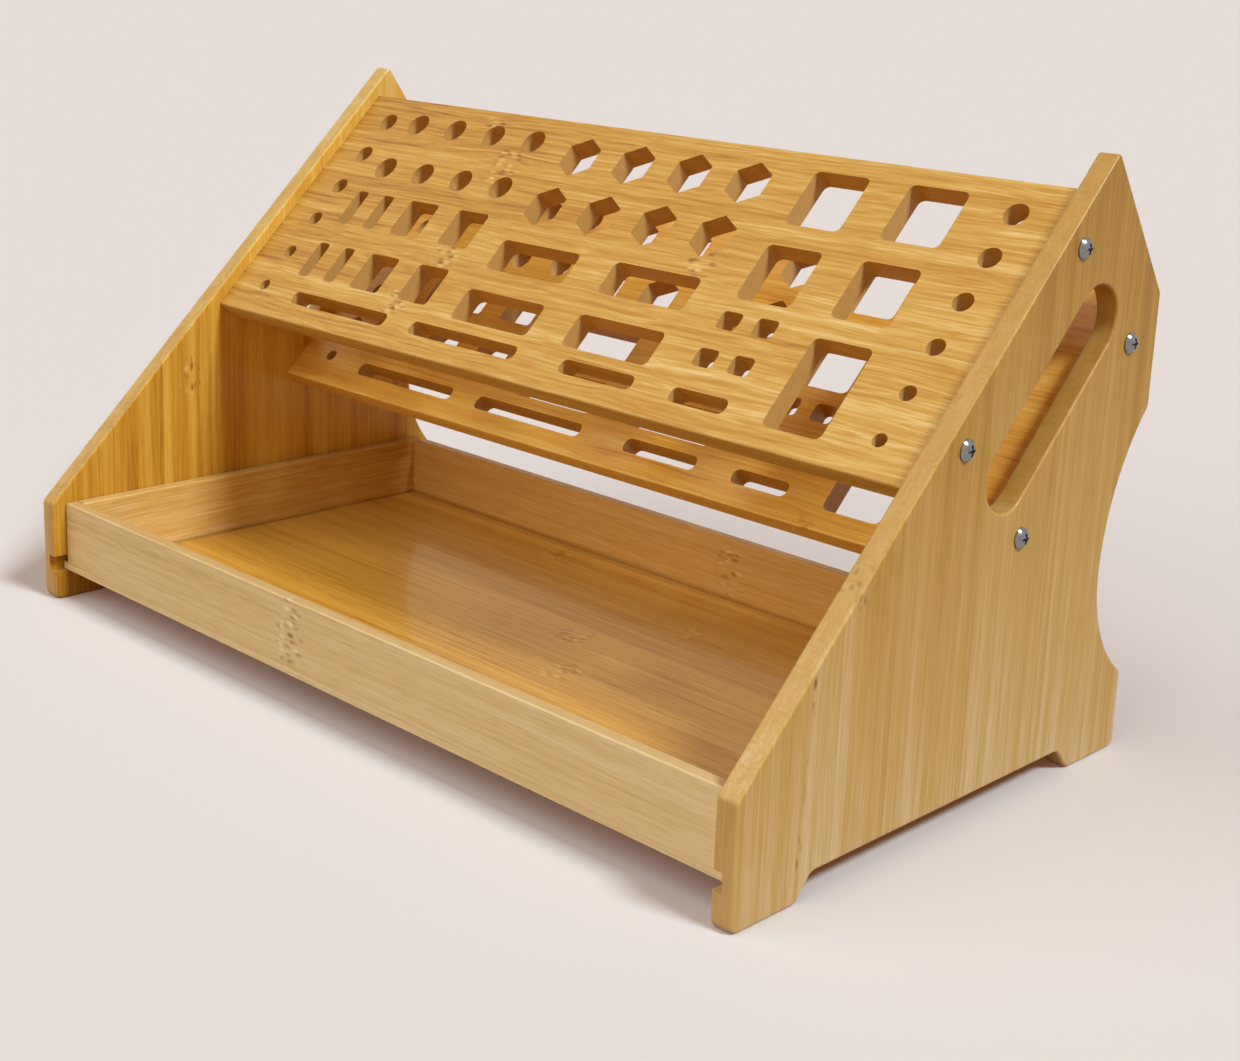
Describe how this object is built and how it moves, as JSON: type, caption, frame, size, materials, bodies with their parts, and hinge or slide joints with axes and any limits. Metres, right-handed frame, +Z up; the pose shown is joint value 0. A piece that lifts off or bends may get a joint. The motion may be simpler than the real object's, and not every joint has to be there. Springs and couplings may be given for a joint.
{
  "type": "bamboo tool organizer",
  "caption": "Free-standing bamboo tool organizer: sloping perforated racks between side panels with finger slots, over a sliding tray.",
  "frame": {"origin": "on the ground, under the middle of the footprint", "axes": "+X along the racks to the right as seen from the front, +Y to the back, +Z up; the sloping racks face -Y"},
  "size_m": [0.3748, 0.202, 0.2078],
  "materials": {
    "panel_bamboo": "satin",
    "upper_rack_bamboo": "satin",
    "lower_rack_bamboo": "satin",
    "tray_bottom_bamboo": "satin",
    "tray_cross_wall_bamboo": "satin",
    "tray_side_wall_bamboo": "satin",
    "screw_metal": "polished"
  },
  "bodies": {
    "stand": {"left_side_panel": "panel_bamboo", "right_side_panel": "panel_bamboo", "upper_tool_rack": "upper_rack_bamboo", "lower_tool_rack": "lower_rack_bamboo", "upper_rack_screws": "screw_metal", "lower_rack_screws": "screw_metal"},
    "tray": {"tray_bottom": "tray_bottom_bamboo", "tray_front_wall": "tray_cross_wall_bamboo", "tray_back_wall": "tray_cross_wall_bamboo", "tray_left_wall": "tray_side_wall_bamboo", "tray_right_wall": "tray_side_wall_bamboo"}
  },
  "joints": [
    {"name": "tray_slide", "type": "slide", "parent": "stand", "child": "tray", "axis": [0, -1, 0], "range_m": [0, 0.15]}
  ]
}
